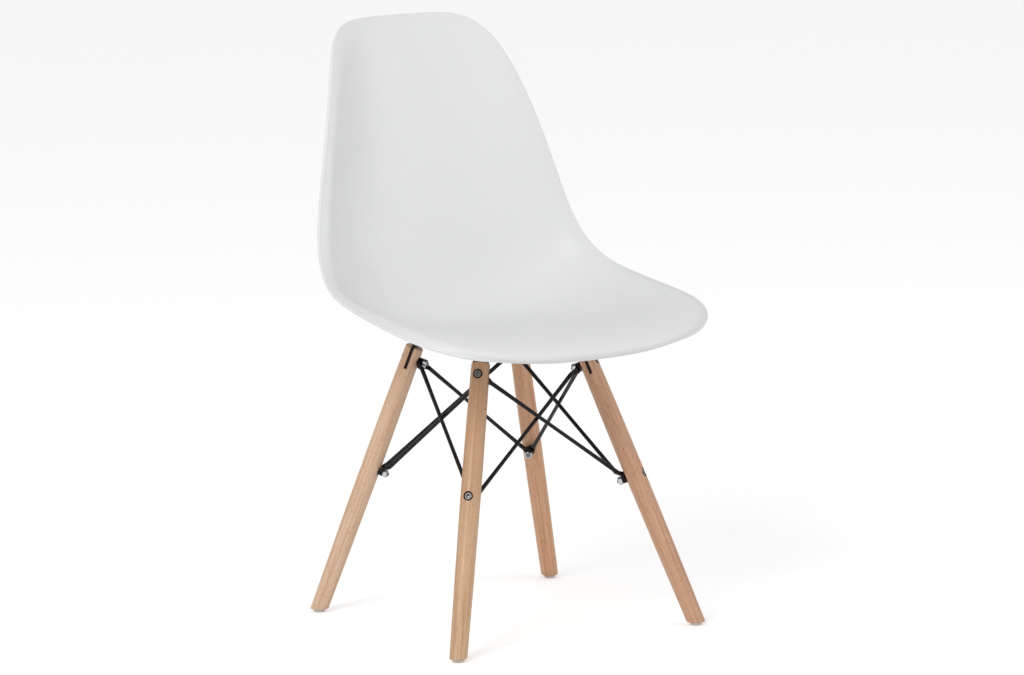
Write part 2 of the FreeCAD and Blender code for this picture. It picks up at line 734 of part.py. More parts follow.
def build_shell():
    """The moulded shell: one wall all over, with four bosses for its inserts."""
    form = ShellForm()
    wall = document.addObject("Part::Feature", "ShellWall")
    wall.Shape = closed_skin(form.skin(), len(form.SHARES))
    foot = size("tab_top") + size("spacer_height")
    bosses = []
    pockets = []
    for corner, (_, along) in CORNERS.items():
        top = "dim.rear_boss_top" if along > 0 else "dim.front_boss_top"
        height = top + " - dim.tab_top - dim.spacer_height"
        bosses.append(cylinder("Boss", "dim.boss_radius", height, screw_place(corner, foot)))
        pockets.append(cylinder("InsertPocket", "dim.insert_radius", "dim.insert_height",
                                screw_place(corner, foot)))
    shell = cut_from("Shell", joined("ShellBlank", [wall] + bosses), joined("Pockets", pockets))
    keep(shell, "seat_shell")


build_shell()
for corner in CORNERS:
    build_leg(corner)
    build_glide(corner)
    build_bracket(corner)
    build_bolt(corner, "upper_hub", "upper_seat_radius")
    build_bolt(corner, "lower_hub", "lower_seat_radius")
    build_nut(corner, "upper_hub", "upper_seat_radius")
    build_nut(corner, "lower_hub", "lower_seat_radius")
build_rails()
build_braces()
tab_face = size("tab_top")
boss_face = tab_face + size("spacer_height")
group_of("glide_nails", [build_nail(corner) for corner in CORNERS])
group_of("shell_screws", [build_screw(corner) for corner in CORNERS])
group_of("shell_spacers", [
    build_ring("Spacer", corner, tab_face, "dim.spacer_radius", "dim.screw_hole_radius",
               "dim.spacer_height") for corner in CORNERS
])
group_of("shell_inserts", [
    build_ring("Insert", corner, boss_face, "dim.insert_radius", "dim.screw_radius",
               "dim.insert_height") for corner in CORNERS
])

document.recompute()
for item in document.Objects:
    if "Invalid" in item.State or "Error" in item.State:
        raise RuntimeError("%s did not build: %s" % (item.Label, item.State))
os.makedirs("parts", exist_ok=True)
for item in nodes:
    if item.Shape.isNull() or not item.Shape.isValid():
        raise RuntimeError("%s has no valid shape" % item.Label)
    item.Shape.exportStep("parts/%s.step" % item.Label)
    print(item.Label, "%.1f cm3" % (item.Shape.Volume / 1000.0), len(item.Shape.Solids), "solid(s)")
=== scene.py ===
import bmesh
import bpy
import numpy as np
from math import atan2, cos, pi, radians, sin
from mathutils import Matrix, Vector


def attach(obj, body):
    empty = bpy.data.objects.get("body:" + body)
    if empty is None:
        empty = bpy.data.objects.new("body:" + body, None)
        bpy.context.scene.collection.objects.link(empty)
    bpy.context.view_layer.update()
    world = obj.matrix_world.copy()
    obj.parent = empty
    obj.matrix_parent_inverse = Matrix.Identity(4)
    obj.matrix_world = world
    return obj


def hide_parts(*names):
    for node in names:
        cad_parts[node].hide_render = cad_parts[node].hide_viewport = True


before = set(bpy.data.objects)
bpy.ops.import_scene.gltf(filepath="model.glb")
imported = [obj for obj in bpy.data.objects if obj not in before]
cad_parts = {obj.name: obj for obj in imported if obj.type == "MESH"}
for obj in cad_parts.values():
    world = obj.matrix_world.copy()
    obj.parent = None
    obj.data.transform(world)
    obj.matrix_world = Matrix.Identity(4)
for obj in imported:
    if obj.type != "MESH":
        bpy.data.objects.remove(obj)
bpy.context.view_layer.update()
MM = 0.001


# Camera: a long lens a little above seat height, turned to the sitter's right, so that the chair
# is seen three-quarters from its front right.
LENS, SENSOR_WIDTH = 172.1, 36
DISTANCE = 6.776
TURN, LIFT, ROLL = radians(-30.493), radians(9.2065), radians(-1.405)
ASIDE, ABOVE = 0.00853, 0.3881
FAR = 200

back = Vector((sin(TURN) * cos(LIFT), -cos(TURN) * cos(LIFT), sin(LIFT)))
right = Vector((cos(TURN), sin(TURN), 0))
up = back.cross(right)
right, up = right * cos(ROLL) + up * sin(ROLL), up * cos(ROLL) - right * sin(ROLL)
place = back * DISTANCE + right * ASIDE + up * ABOVE
camera = bpy.data.objects.new("camera", bpy.data.cameras.new("camera"))
camera.data.lens = LENS
camera.data.sensor_width = SENSOR_WIDTH
camera.data.clip_end = FAR
camera.matrix_world = Matrix((right, up, back)).transposed().to_4x4()
camera.matrix_world.translation = place
bpy.context.scene.collection.objects.link(camera)
bpy.context.scene.camera = camera
bpy.context.scene.view_settings.view_transform = "Standard"


# Studio: a white surround, one wide softbox to the camera's left and above, and a weak one to the
# right, over a plain white floor. Surround and floor look brighter to the camera than they shine.
SURROUND_LIGHT, SURROUND_SEEN = 0.64, 1.0
FLOOR_GLOW = 0.32
FLOOR_REACH = 40
LIGHTS_AIM = (0, 0, 0.5)


def add(tree, kind, inputs=None, **properties):
    """A shader node with its properties and its inputs, which are values or other outputs."""
    node = tree.nodes.new("ShaderNode" + kind)
    for name, value in properties.items():
        setattr(node, name, value)
    for name, value in (inputs or {}).items():
        socket = node.inputs[name]
        if isinstance(value, bpy.types.NodeSocket):
            tree.links.new(value, socket)
        else:
            socket.default_value = value
    return node


def new_material(name, **values):
    """A material with a Principled shader, and the values of that shader's plain sockets."""
    material = bpy.data.materials.new(name)
    material.use_nodes = True
    tree = material.node_tree
    shader = tree.nodes["Principled BSDF"]
    for socket, value in values.items():
        shader.inputs[socket.replace("_", " ")].default_value = value
    return material, tree, shader


def soft_light(name, size, energy, place, aim):
    """A square area light at a place, aimed at a point."""
    lamp = bpy.data.lights.new(name, "AREA")
    lamp.size = size
    lamp.energy = energy
    light = bpy.data.objects.new(name, lamp)
    light.location = place
    light.rotation_euler = (Vector(aim) - Vector(place)).to_track_quat("-Z", "Y").to_euler()
    bpy.context.scene.collection.objects.link(light)


world = bpy.data.worlds.new("surround")
world.use_nodes = True
bpy.context.scene.world = world
sky = world.node_tree
seen = add(sky, "LightPath")
strength = add(sky, "MapRange", {"Value": seen.outputs["Is Camera Ray"], "To Min": SURROUND_LIGHT,
                                 "To Max": SURROUND_SEEN})
sky.nodes["Background"].inputs["Color"].default_value = (1.0, 1.0, 1.0, 1)
sky.links.new(strength.outputs["Result"], sky.nodes["Background"].inputs["Strength"])
soft_light("key", 2.4, 93, (-3.8, -2.0, 3.6), LIGHTS_AIM)
soft_light("fill", 2.0, 24, (3.2, -3.0, 1.8), LIGHTS_AIM)

floor_mesh = bpy.data.meshes.new("floor")
floor_mesh.from_pydata([(-FLOOR_REACH, -FLOOR_REACH, 0), (FLOOR_REACH, -FLOOR_REACH, 0),
                        (FLOOR_REACH, FLOOR_REACH, 0), (-FLOOR_REACH, FLOOR_REACH, 0)],
                       [], [(0, 1, 2, 3)])
floor = bpy.data.objects.new("floor", floor_mesh)
floor_white, floor_tree, floor_shader = new_material(
    "floor_white", Base_Color=(0.93, 0.93, 0.93, 1), Roughness=0.9, Specular_IOR_Level=0.1,
    Emission_Color=(1, 1, 1, 1))
floor_seen = add(floor_tree, "LightPath").outputs["Is Camera Ray"]
floor_glow = add(floor_tree, "Math", {0: floor_seen, 1: FLOOR_GLOW}, operation="MULTIPLY")
floor_tree.links.new(floor_glow.outputs["Value"], floor_shader.inputs["Emission Strength"])
floor_mesh.materials.append(floor_white)
bpy.context.scene.collection.objects.link(floor)


# Shell: one piece of moulded polypropylene, a dished seat running up into the back, with its rim
# rolled down into a lip and four bosses underneath for threaded inserts. Satin, faintly grained.
STATIONS = np.array([
    [-260.5, 396, 212, -218.5, 427],
    [-267, 415, 230.5, -196.5, 429.5],
    [-197, 430.5, 240, -157.5, 445],
    [-95.5, 419, 233.5, -62, 455],
    [26, 404.5, 225, 34.5, 466.5],
    [148, 396, 212, 93, 482],
    [181, 527.5, 198.5, 137.5, 531.5],
    [216, 645, 170.5, 153.5, 656],
    [243.5, 769.5, 145.5, 181.5, 775],
    [254.5, 818.5, 145, 206, 817.5],
])
DISH_POWER = 2.6
CORNER_POWER = 6
LIP_DROP = 7
LIP_BAND = 0.07
HALF_WALL = 2.5


def spline(along):
    """Points of the clamped uniform cubic B-spline on STATIONS, at along from 0 to 1.

    The weights follow de Boor: B(i, d) = (t - k(i)) / (k(i+d) - k(i)) B(i, d-1)
    + (k(i+d+1) - t) / (k(i+d+1) - k(i+1)) B(i+1, d-1).
    """
    degree = 3
    count = len(STATIONS)
    knots = np.concatenate([np.zeros(degree), np.linspace(0, 1, count - degree + 1),
                            np.ones(degree)])
    along = np.clip(along, 0, 1 - 1e-12)[..., None]
    weights = ((along >= knots[:-1]) & (along < knots[1:])).astype(float)
    for order in range(1, degree + 1):
        rise = knots[order:-1] - knots[:-1 - order]
        fall = knots[order + 1:] - knots[1:-order]
        climb = np.divide(along - knots[:-1 - order], rise, where=rise > 0,
                          out=np.zeros(along.shape[:-1] + rise.shape))
        drop = np.divide(knots[order + 1:] - along, fall, where=fall > 0,
                         out=np.zeros(along.shape[:-1] + fall.shape))
        weights = climb * weights[..., :-1] + drop * weights[..., 1:]
    return weights @ STATIONS


def dish(across, along):
    """The dish: x = E_x s, y = C_y + (E_y - C_y) |s|^p, z likewise, for s across and the middle
    line C and side line E at along."""
    middle_y, middle_z, side_x, side_y, side_z = np.moveaxis(spline(along), -1, 0)
    rise = np.abs(across) ** DISH_POWER
    return np.stack([side_x * across, middle_y + (side_y - middle_y) * rise,
                     middle_z + (side_z - middle_z) * rise], axis=-1)


def unit(vectors):
    """Vectors of length one along the last axis."""
    return vectors / np.linalg.norm(vectors, axis=-1, keepdims=True)


def shell_middle(share, angle):
    """Middle surface and its normal N at polar (share, angle) of the outline.

    The outline is |s|^6 + |t|^6 = 1, and inside its last LIP_BAND the surface sinks by
    LIP_DROP w^2 along N, with w rising from 0 to 1.
    """
    cosine, sine = np.cos(angle), np.sin(angle)
    reach = (np.abs(cosine) ** CORNER_POWER + np.abs(sine) ** CORNER_POWER) ** (-1 / CORNER_POWER)
    across = share * reach * cosine
    along = 0.5 + 0.5 * share * reach * sine
    step = 1e-4
    sideways = dish(across + step, along) - dish(across - step, along)
    backwards = dish(across, along + step) - dish(across, along - step)
    normal = unit(np.cross(sideways, backwards))
    rolled = np.clip((share - 1 + LIP_BAND) / LIP_BAND, 0, 1) ** 2
    return dish(across, along) - normal * (LIP_DROP * rolled)[..., None], normal


def looking_out(points, quads, faces):
    """The faces, turned over if the quads among them enclose a negative volume."""
    a, b, c, d = (points[quads[:, k]] for k in range(4))
    volume = np.sum(np.cross(b - a, c - a) * a) + np.sum(np.cross(c - a, d - a) * a)
    return [face[::-1] for face in faces] if volume < 0 else faces


def wrapped_skin(grid):
    """Closed skin of points (rows, columns, 3) whose columns wrap round and whose first and last
    rows are single points. Returns points and faces that look outwards."""
    rows, columns = grid.shape[:2]
    points = np.concatenate([grid[0, :1], grid[1:-1].reshape(-1, 3), grid[-1, :1]])
    index = 1 + np.arange((rows - 2) * columns).reshape(rows - 2, columns)
    beside = np.roll(index, -1, axis=1)
    quads = np.stack([index[:-1], beside[:-1], beside[1:], index[1:]], axis=-1).reshape(-1, 4)
    first = [(0, int(b), int(a)) for a, b in zip(index[0], beside[0])]
    last = [(len(points) - 1, int(a), int(b)) for a, b in zip(index[-1], beside[-1])]
    faces = [tuple(quad) for quad in quads.tolist()] + first + last
    return points, looking_out(points, quads, faces)


def wrapped_ring(grid):
    """Closed skin of points (rows, columns, 3) that wrap round both ways, looking outwards."""
    rows, columns = grid.shape[:2]
    index = np.arange(rows * columns).reshape(rows, columns)
    beside = np.roll(index, -1, axis=1)
    quads = np.stack([index, beside, np.roll(beside, -1, axis=0), np.roll(index, -1, axis=0)],
                     axis=-1).reshape(-1, 4)
    points = grid.reshape(-1, 3)
    faces = [tuple(quad) for quad in quads.tolist()]
    return points, looking_out(points, quads, faces)


def piece(name, skins, material, node, sharp=35):
    """An object of one or more skins in millimetres, which stands for a CAD node."""
    points = np.concatenate([skin[0] for skin in skins]) * MM
    faces = []
    start = 0
    for skin_points, skin_faces in skins:
        faces.extend(tuple(corner + start for corner in face) for face in skin_faces)
        start += len(skin_points)
    mesh = bpy.data.meshes.new(name)
    mesh.from_pydata(points.tolist(), [], faces)
    return dressed(name, mesh, material, node, sharp)


def dressed(name, mesh, material, node, sharp):
    """Smooth shading up to an angle, the material, and the CAD node that the mesh replaces."""
    mesh.polygons.foreach_set("use_smooth", [True] * len(mesh.polygons))
    mesh.set_sharp_from_angle(angle=radians(sharp))
    mesh.materials.append(material)
    shown = bpy.data.objects.new(name, mesh)
    bpy.context.scene.collection.objects.link(shown)
    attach(shown, "root")
    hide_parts(node)
    return shown


def object_place(tree):
    """The coordinates that follow the object, in metres."""
    return add(tree, "TexCoord").outputs["Object"]


def noise(tree, vector, scale, detail=2.0, roughness=0.5):
    """Noise of about 1 / scale metres, from 0 to 1."""
    return add(tree, "TexNoise", {"Vector": vector, "Scale": scale, "Detail": detail,
                                  "Roughness": roughness}).outputs["Fac"]


def ranged(tree, value, low, high, to_low, to_high):
    """A value moved from one range to another and kept inside it."""
    return add(tree, "MapRange", {"Value": value, "From Min": low, "From Max": high,
                                  "To Min": to_low, "To Max": to_high}).outputs["Result"]


def mixed(tree, factor, first, second, blend="MIX"):
    """Two colours, values or outputs, mixed."""
    mix = add(tree, "Mix", data_type="RGBA", blend_type=blend)
    for socket, value in ((0, factor), (6, first), (7, second)):
        if isinstance(value, bpy.types.NodeSocket):
            tree.links.new(value, mix.inputs[socket])
        else:
            mix.inputs[socket].default_value = value
    return mix.outputs[2]


def bumped(tree, height, distance, strength=1.0, normal=None):
    """A normal bent by a height of so many metres."""
    inputs = {"Height": height, "Distance": distance, "Strength": strength}
    if normal is not None:
        inputs["Normal"] = normal
    return add(tree, "Bump", inputs).outputs["Normal"]


def shell_plastic():
    """Cool white polypropylene: satin, with a fine spark-eroded grain, slow waves of gloss and
    faint scuffs."""
    material, tree, shader = new_material("shell_plastic", Specular_IOR_Level=0.42,
                                          Subsurface_Weight=0.04, Subsurface_Scale=0.004)
    where = object_place(tree)
    grain = noise(tree, where, 1500, 3.0, 0.55)
    slow = noise(tree, where, 7, 2.0, 0.5)
    cloud = noise(tree, where, 45, 4.0, 0.6)
    tone = mixed(tree, slow, (0.790, 0.799, 0.802, 1), (0.819, 0.825, 0.821, 1))
    scuff = ranged(tree, noise(tree, where, 260, 5.0, 0.7), 0.66, 0.74, 0.0, 0.5)
    tone = mixed(tree, scuff, tone, (0.76, 0.765, 0.76, 1))
    tree.links.new(tone, shader.inputs["Base Color"])
    gloss = ranged(tree, cloud, 0.3, 0.7, 0.36, 0.50)
    tree.links.new(gloss, shader.inputs["Roughness"])
    fine = bumped(tree, grain, 0.00003, 0.35)
    tree.links.new(bumped(tree, slow, 0.0006, 0.15, fine), shader.inputs["Normal"])
    return material


COLUMNS = 288
TOP_SHARES = np.concatenate([np.linspace(0, 0.90, 46), np.linspace(0.905, 1.0, 20)])
angles = -pi / 2 + 2 * pi * np.arange(COLUMNS) / COLUMNS
shares, turns = np.meshgrid(TOP_SHARES, angles, indexing="ij")
middle, normal = shell_middle(shares, turns)
outwards = middle[-1] - middle[-2]
outwards = unit(outwards - normal[-1] * np.sum(outwards * normal[-1], axis=-1, keepdims=True))
bend = np.radians(np.arange(12, 169, 12))[:, None, None]
rim = middle[-1] + HALF_WALL * (np.cos(bend) * normal[-1] + np.sin(bend) * outwards)
sitting_side = middle + HALF_WALL * normal
under_side = middle - HALF_WALL * normal
shell_skin = wrapped_skin(np.concatenate([sitting_side, rim, under_side[::-1]]))

CORNERS = {
    "front_right": (-1, -1),
    "front_left": (1, -1),
    "rear_left": (1, 1),
    "rear_right": (-1, 1),
}
FOOT_ACROSS, FOOT_ALONG = 189.5, 195.0
PLAN_ANGLE, SPLAY = radians(44.3), radians(21.7)


def corner_matrix(corner):
    """Frame at a leg's foot: X outwards along the lean, Z up. Millimetres."""
    across, along = CORNERS[corner]
    turn = atan2(along * sin(PLAN_ANGLE), across * cos(PLAN_ANGLE))
    foot = Vector((across * FOOT_ACROSS, along * FOOT_ALONG, 0))
    return Matrix.Translation(foot) @ Matrix.Rotation(turn, 4, "Z")


def leg_matrix(corner):
    """Frame of a leg: X outwards along its bolts, Z up the leg. Millimetres."""
    return corner_matrix(corner) @ Matrix.Rotation(-SPLAY, 4, "Y")


def placed(points, matrix):
    """Points moved by a matrix."""
    matrix = np.array(matrix)
    return points @ matrix[:3, :3].T + matrix[:3, 3]


def turned_grid(radii, levels, columns):
    """Rows of points about Z: (r cos a, r sin a, z), for radii of shape (rows, 1) or
    (rows, columns)."""
    angle = 2 * pi * np.arange(columns) / columns
    radii, levels, angle = np.broadcast_arrays(radii, levels, angle[None, :])
    return np.stack([radii * np.cos(angle), radii * np.sin(angle), levels], axis=-1)


SCREW_INSET = 196
BOSS_FOOT, BOSS_RADIUS, BOSS_COLUMNS = 395, 10, 64
POCKET_RADIUS, POCKET_DEPTH = 4, 7
ROOT_FLARE, ROOT_SINK = 3.2, 0.12


def boss_skin(corner):
    """A round boss with an insert's pocket in its end, and a root that flares into the shell.

    The root's level over each point (x, y) is the underside's, from its nearest points.
    """
    middle_of = corner_matrix(corner) @ Vector((-SCREW_INSET, 0, 0))
    centre = np.array([middle_of.x, middle_of.y])
    flat = under_side.reshape(-1, 3)
    columns = BOSS_COLUMNS
    angle = 2 * pi * np.arange(columns) / columns
    direction = np.stack([np.cos(angle), np.sin(angle)], axis=-1)

    def root_level(radius):
        spots = centre + radius * direction
        gap = np.linalg.norm(flat[None, :, :2] - spots[:, None, :], axis=-1)
        near = np.argsort(gap, axis=1)[:, :4]
        weight = 1 / (np.take_along_axis(gap, near, axis=1) ** 2 + 0.01)
        return np.sum(flat[near, 2] * weight, axis=1) / np.sum(weight, axis=1)

    levels = []
    radii = []
    for radius, level in ((0, POCKET_DEPTH), (POCKET_RADIUS - 0.1, POCKET_DEPTH),
                          (POCKET_RADIUS, POCKET_DEPTH - 0.1), (POCKET_RADIUS, 0.4),
                          (POCKET_RADIUS + 0.4, 0), (BOSS_RADIUS - 0.7, 0),
                          (BOSS_RADIUS - 0.2, 0.2), (BOSS_RADIUS, 0.7), (BOSS_RADIUS, 2.2)):
        radii.append(np.full(columns, float(radius)))
        levels.append(np.full(columns, BOSS_FOOT + float(level)))
    for share in np.linspace(0, 1, 9):
        radius = BOSS_RADIUS + ROOT_FLARE * (1 - cos(share * pi / 2))
        radii.append(np.full(columns, radius))
        levels.append(root_level(radius) - ROOT_FLARE * (1 - sin(share * pi / 2)) + ROOT_SINK)
    radii.append(np.zeros(columns))
    levels.append(np.full(columns, levels[-1].mean() + 1.2))
    grid = turned_grid(np.array(radii), np.array(levels), columns)
    grid[..., :2] += centre
    return wrapped_skin(grid)


piece("moulded_shell", [shell_skin] + [boss_skin(corner) for corner in CORNERS],
      shell_plastic(), "seat_shell")


# Legs: turned beech dowels with a sawn slot at the top, counterbored bolt holes and a level foot.
# Straight grain with short dark flecks, under a thin satin lacquer. The legs' tones differ
# partly as beech does and partly as painted light, lighter on legs that stand in shade.
# HUBS gives each bolt's height along a leg, and from the leg's axis to the first rod's tab.
HUBS = {"upper": (390, 13.0), "lower": (222.5, 13.8)}
# Painted shade: the wood within these radii of each bolt's axis, in the counterbores, is painted
# dark.
BORE_INSIDE, BORE_OUTSIDE = 0.0064, 0.0070
BORE_SHADE_TONE = (0.030, 0.022, 0.018, 1)
# Painted shadow of the shell on the legs: darker from the first height to the second up each leg.
PAINTED_SHADOW_START, PAINTED_SHADOW_END = 0.12, 0.36
END_GRAIN_START, END_GRAIN_END = 0.4045, 0.4065


def smooth_copy(node, name, material, sharp=35):
    """A copy of a CAD node's mesh with its points merged, smooth shaded."""
    work = bmesh.new()
    work.from_mesh(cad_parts[node].data)
    bmesh.ops.remove_doubles(work, verts=work.verts, dist=1e-6)
    work.verts.index_update()
    mesh = bpy.data.meshes.new(name)
    mesh.from_pydata([tuple(vert.co) for vert in work.verts], [],
                     [tuple(vert.index for vert in face.verts) for face in work.faces])
    work.free()
    return dressed(name, mesh, material, node, sharp)


def worn_edge(tree, radius):
    """How far a point is from flat ground, from 0 in the open to 1 on an edge of that radius,
    and the rounded normal there."""
    rounded = add(tree, "Bevel", {"Radius": radius}, samples=6).outputs["Normal"]
    true = add(tree, "NewGeometry").outputs["Normal"]
    facing = add(tree, "VectorMath", {0: rounded, 1: true}, operation="DOT_PRODUCT")
    return ranged(tree, facing.outputs["Value"], 0.995, 0.85, 0.0, 1.0), rounded


def beech(corner, light, dark, painted_shadow, seed):
    """Beech in the leg's own frame: fibres, streaks, growth rings as long bands, ray flecks and
    pores, the shell's shadow painted on the upper part, brown end grain and painted shade in the
    bores round the bolts."""
    material, tree, shader = new_material("beech_" + corner, Specular_IOR_Level=0.4,
                                          Coat_Weight=0.18, Coat_Roughness=0.32)
    matrix = leg_matrix(corner)
    where = add(tree, "Mapping", {"Vector": object_place(tree),
                                  "Location": matrix.translation * MM,
                                  "Rotation": matrix.to_euler()}, vector_type="TEXTURE")
    drawn = add(tree, "Mapping", {"Vector": where.outputs["Vector"],
                                  "Location": (0.013 * seed, 0.021 * seed, 0.3 * seed),
                                  "Rotation": (0.012, 0.016, 0.9 * seed),
                                  "Scale": (1, 1, 0.035)}).outputs["Vector"]
    short = add(tree, "Mapping", {"Vector": where.outputs["Vector"],
                                  "Location": (0.017 * seed, 0.011 * seed, 0.2 * seed),
                                  "Scale": (1, 1, 0.24)}).outputs["Vector"]
    fibre = noise(tree, drawn, 620, 6.0, 0.66)
    streak = noise(tree, drawn, 240, 3.0, 0.55)
    bands = add(tree, "TexWave", {"Vector": drawn, "Scale": 62.0, "Distortion": 3.2,
                                  "Detail": 2.5, "Detail Scale": 38.0, "Detail Roughness": 0.55},
                wave_type="BANDS", bands_direction="X", wave_profile="SAW").outputs["Fac"]
    fleck = ranged(tree, noise(tree, short, 1000, 2.0, 0.5), 0.61, 0.69, 0.0, 1.0)
    pore = ranged(tree, noise(tree, short, 3200, 1.0, 0.5), 0.62, 0.72, 0.0, 1.0)
    slow = noise(tree, drawn, 60, 2.0, 0.5)
    figure = ranged(tree, bands, 0.0, 1.0, 0.1, 0.9)
    tone = mixed(tree, figure, light + (1,), dark + (1,))
    tone = mixed(tree, ranged(tree, fibre, 0.38, 0.66, 0.0, 0.75), tone, dark + (1,))
    deep = tuple(channel * share for channel, share in zip(dark, (0.74, 0.57, 0.42)))
    tone = mixed(tree, ranged(tree, streak, 0.46, 0.70, 0.0, 0.75), tone, deep + (1,))
    tone = mixed(tree, ranged(tree, slow, 0.35, 0.65, 0.0, 0.30), tone, light + (1,))
    height = add(tree, "SeparateXYZ", {"Vector": where.outputs["Vector"]}).outputs["Z"]
    # Painted shadow: the leg's upper part is painted darker where the shell shades it.
    tone = mixed(tree, ranged(tree, height, PAINTED_SHADOW_START, PAINTED_SHADOW_END, 0.0, painted_shadow), tone, deep + (1,))
    end_grain = ranged(tree, height, END_GRAIN_START, END_GRAIN_END, 0.0, 0.7)
    tone = mixed(tree, end_grain, tone, deep + (1,))
    tone = mixed(tree, ranged(tree, fleck, 0.0, 1.0, 0.0, 0.85), tone, deep + (1,))
    tone = mixed(tree, ranged(tree, pore, 0.0, 1.0, 0.0, 0.25), tone, deep + (1,))
    # Painted shade in the counterbore round each bolt.
    for hub_height, _ in HUBS.values():
        offset = add(tree, "VectorMath", {0: where.outputs["Vector"],
                                          1: (0, 0, hub_height * MM)}, operation="SUBTRACT")
        offset = add(tree, "VectorMath", {0: offset.outputs["Vector"], 1: (0, 1, 1)},
                     operation="MULTIPLY")
        reach = add(tree, "VectorMath", {0: offset.outputs["Vector"]}, operation="LENGTH")
        bore_shade = ranged(tree, reach.outputs["Value"], BORE_INSIDE, BORE_OUTSIDE, 0.93, 0.0)
        tone = mixed(tree, bore_shade, tone, BORE_SHADE_TONE)
    edge, rounded = worn_edge(tree, 0.0006)
    tone = mixed(tree, ranged(tree, edge, 0.0, 1.0, 0.0, 0.35), tone, deep + (1,))
    tree.links.new(tone, shader.inputs["Base Color"])
    gloss = ranged(tree, fibre, 0.3, 0.7, 0.38, 0.54)
    tree.links.new(gloss, shader.inputs["Roughness"])
    relief = add(tree, "Math", {0: fibre, 1: fleck}, operation="SUBTRACT").outputs["Value"]
    tree.links.new(bumped(tree, relief, 0.00004, 0.5, rounded), shader.inputs["Normal"])
    return material


# Each leg's light and dark tones differ partly as beech does and partly as painted light, lighter
# on the legs that stand in the shell's shade; the third value is the amount of painted shadow on
# the upper part.
BEECH_TONES = {
    "front_right": ((0.770, 0.530, 0.355), (0.570, 0.345, 0.185), 0.55),
    "rear_right": ((0.830, 0.605, 0.430), (0.700, 0.475, 0.315), 0.14),
    "front_left": ((0.755, 0.470, 0.315), (0.520, 0.270, 0.145), 0.0),
    "rear_left": ((0.840, 0.515, 0.320), (0.585, 0.305, 0.155), 0.0),
}
for seed, corner in enumerate(CORNERS, start=1):
    light, dark, painted_shadow = BEECH_TONES[corner]
    smooth_copy("leg_" + corner, "dowel_" + corner, beech(corner, light, dark, painted_shadow, seed))


# Brace rods: eight crossed steel rods, round in the middle and pressed flat at both ends around
# the bolts, dipped in glossy black.
TAB_THICKNESS, TAB_RADIUS, TAB_REACH, NECK = 2.8, 5.3, 7.5, 8.0
ROD_RADIUS, ROD_BOW, ROD_COLUMNS = 3.0, 2.2, 40
TIP_ROUND = 6


def gloss_black():
    """Black dip coat on steel: glossy, with a slow orange peel, dust specks and thin edges."""
    material, tree, shader = new_material("gloss_black", Specular_IOR_Level=0.28)
    where = object_place(tree)
    peel = noise(tree, where, 420, 2.0, 0.5)
    dust = ranged(tree, noise(tree, where, 1900, 2.0, 0.6), 0.70, 0.78, 0.0, 0.35)
    tone = mixed(tree, dust, (0.003, 0.003, 0.005, 1), (0.03, 0.03, 0.034, 1))
    edge, rounded = worn_edge(tree, 0.0004)
    tone = mixed(tree, ranged(tree, edge, 0.0, 1.0, 0.0, 0.3), tone, (0.03, 0.03, 0.034, 1))
    tree.links.new(tone, shader.inputs["Base Color"])
    gloss = ranged(tree, noise(tree, where, 60, 3.0, 0.6), 0.3, 0.7, 0.16, 0.26)
    tree.links.new(gloss, shader.inputs["Roughness"])
    tree.links.new(bumped(tree, peel, 0.00003, 0.25, rounded), shader.inputs["Normal"])
    return material


def rod_end(corner, hub, layer, line, bow):
    """Path and section of one end of a rod, from the tab's tip to where the rod is round.

    v runs from the bolt along the rod. The path is straight over the tab, and over the neck it is
    the Hermite curve from the tab's direction to the rod's. The half width is sqrt(R^2 - v^2)
    round the tip and R to the neck; over the neck width, thickness and the section's power n
    ease with 3 q^2 - 2 q^3 to a round rod, and the section turns square to it.
    """
    matrix = leg_matrix(corner)
    height, seat = HUBS[hub]
    bolt = np.array(matrix.to_3x3() @ Vector((1, 0, 0)))
    centre = np.array(matrix @ Vector((-(seat + (layer + 0.5) * TAB_THICKNESS), 0, height)))
    flat = unit(line - bolt * np.dot(line, bolt))
    tip = -TAB_RADIUS * np.cos(np.linspace(0, pi / 2, 12))
    v = np.concatenate([tip, np.linspace(1, TAB_REACH, 5),
                        TAB_REACH + NECK * np.linspace(0, 1, 17)[1:]])[:, None]
    q = np.clip((v - TAB_REACH) / NECK, 0, 1)
    ease = q * q * (3 - 2 * q)
    mouth = centre + flat * TAB_REACH
    round_start = centre + line * (TAB_REACH + NECK) + bow
    neck = (mouth * (1 - ease) + round_start * ease + NECK * flat * q * (1 - q) ** 2
            - NECK * line * q * q * (1 - q))
    path = np.where(v < TAB_REACH, centre + flat * v, neck)
    square = unit(bolt - line * np.dot(bolt, line))
    side = unit(np.cross(bolt, flat) * (1 - ease) + np.cross(square, line) * ease)
    thickness = unit(bolt * (1 - ease) + square * ease)
    tip_share = np.clip(1 - (np.minimum(v, 0) / TAB_RADIUS) ** 2, 0, 1) ** 0.5
    wide = (TAB_RADIUS + (ROD_RADIUS - TAB_RADIUS) * ease) * tip_share
    thick = TAB_THICKNESS / 2 + (ROD_RADIUS - TAB_THICKNESS / 2) * ease
    thick = thick * (1 - (1 - tip_share) ** TIP_ROUND)
    power = 2 + 5 * (1 - ease)
    return np.concatenate([path, side, thickness, wide, thick, power], axis=1)


